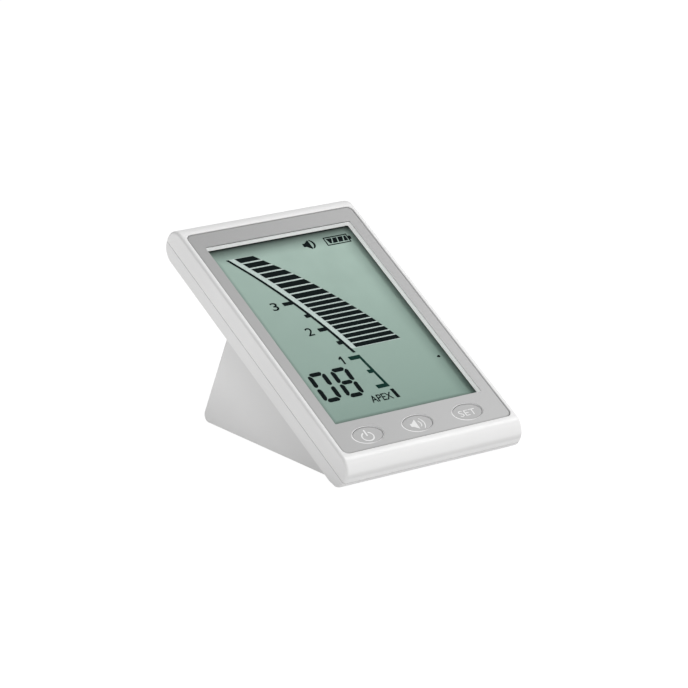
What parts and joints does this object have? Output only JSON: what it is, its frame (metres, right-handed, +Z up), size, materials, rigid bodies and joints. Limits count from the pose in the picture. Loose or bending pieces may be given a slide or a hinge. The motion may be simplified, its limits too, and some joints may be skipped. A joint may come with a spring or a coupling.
{
  "type": "dental apex locator",
  "caption": "Tabletop dental apex locator: a flat LCD display unit with oval keys, leaning on a fixed wedge stand with a sliding battery door.",
  "frame": {"origin": "on the table, below the centre of the overall box", "axes": "+Z up, -Y towards the user (the display faces -Y and up), +X to the display's right"},
  "size_m": [0.08, 0.1144, 0.0725],
  "materials": {
    "white_shell": "satin moulded ABS, fine spark texture",
    "stand_shell": "satin moulded ABS",
    "grey_panel": "satin printed polycarbonate overlay",
    "grey_key": "satin, same grey as the panel, white printed symbols",
    "clear_window": "clear polycarbonate, fine matte hard coat",
    "lcd_face": "grey-green reflective LCD with near-black segments",
    "lcd_glass": "polished glass",
    "cream_plastic": "natural nylon",
    "elastomer": "silicone elastomer strip",
    "circuit_board": "green solder mask",
    "black_epoxy": "moulded epoxy package",
    "buzzer_brass": "plain sheet",
    "battery_wrap": "shrink wrap",
    "lead_sleeve": "PVC insulation",
    "socket_black": "moulded",
    "switch_dark": "moulded",
    "screw_steel": "zinc-plated, cross recess",
    "foot_rubber": "matt rubber"
  },
  "bodies": {
    "body": {"front_housing": "white_shell", "rear_housing": "white_shell", "front_panel": "grey_panel", "display_window": "clear_window", "lcd_front_glass": "lcd_face", "lcd_rear_glass": "lcd_glass", "lcd_holder": "cream_plastic", "zebra_strip": "elastomer", "main_board": "circuit_board", "processor_chip": "black_epoxy", "measuring_chip": "black_epoxy", "board_connector": "cream_plastic", "buzzer_disc": "buzzer_brass", "stand_housing": "stand_shell", "base_plate": "stand_shell", "battery_pack": "battery_wrap", "battery_lead": "lead_sleeve", "probe_lead": "lead_sleeve", "charge_lead": "lead_sleeve", "probe_socket": "socket_black", "charge_socket": "socket_black", "power_switch_body": "switch_dark", "volume_switch_body": "switch_dark", "set_switch_body": "switch_dark", "housing_screw_1": "screw_steel", "stand_screw_1": "screw_steel", "base_screw_1": "screw_steel", "rubber_foot_1": "foot_rubber", "housing_screw_2": "screw_steel", "stand_screw_2": "screw_steel", "base_screw_2": "screw_steel", "rubber_foot_2": "foot_rubber", "housing_screw_3": "screw_steel", "stand_screw_3": "screw_steel", "base_screw_3": "screw_steel", "rubber_foot_3": "foot_rubber", "housing_screw_4": "screw_steel", "stand_screw_4": "screw_steel", "base_screw_4": "screw_steel", "rubber_foot_4": "foot_rubber"},
    "power_key": {"power_button": "grey_key", "power_switch_plunger": "switch_dark"},
    "volume_key": {"volume_button": "grey_key", "volume_switch_plunger": "switch_dark"},
    "set_key": {"set_button": "grey_key", "set_switch_plunger": "switch_dark"},
    "battery_cover": {"battery_door": "stand_shell"}
  },
  "joints": [
    {"name": "power_press", "type": "slide", "parent": "body", "child": "power_key", "axis": [0, 0.5, -0.866], "range_m": [0, 0.0005]},
    {"name": "volume_press", "type": "slide", "parent": "body", "child": "volume_key", "axis": [0, 0.5, -0.866], "range_m": [0, 0.0005]},
    {"name": "set_press", "type": "slide", "parent": "body", "child": "set_key", "axis": [0, 0.5, -0.866], "range_m": [0, 0.0005]},
    {"name": "battery_door_slide", "type": "slide", "parent": "body", "child": "battery_cover", "axis": [0, 1, 0], "range_m": [0, 0.04]}
  ]
}
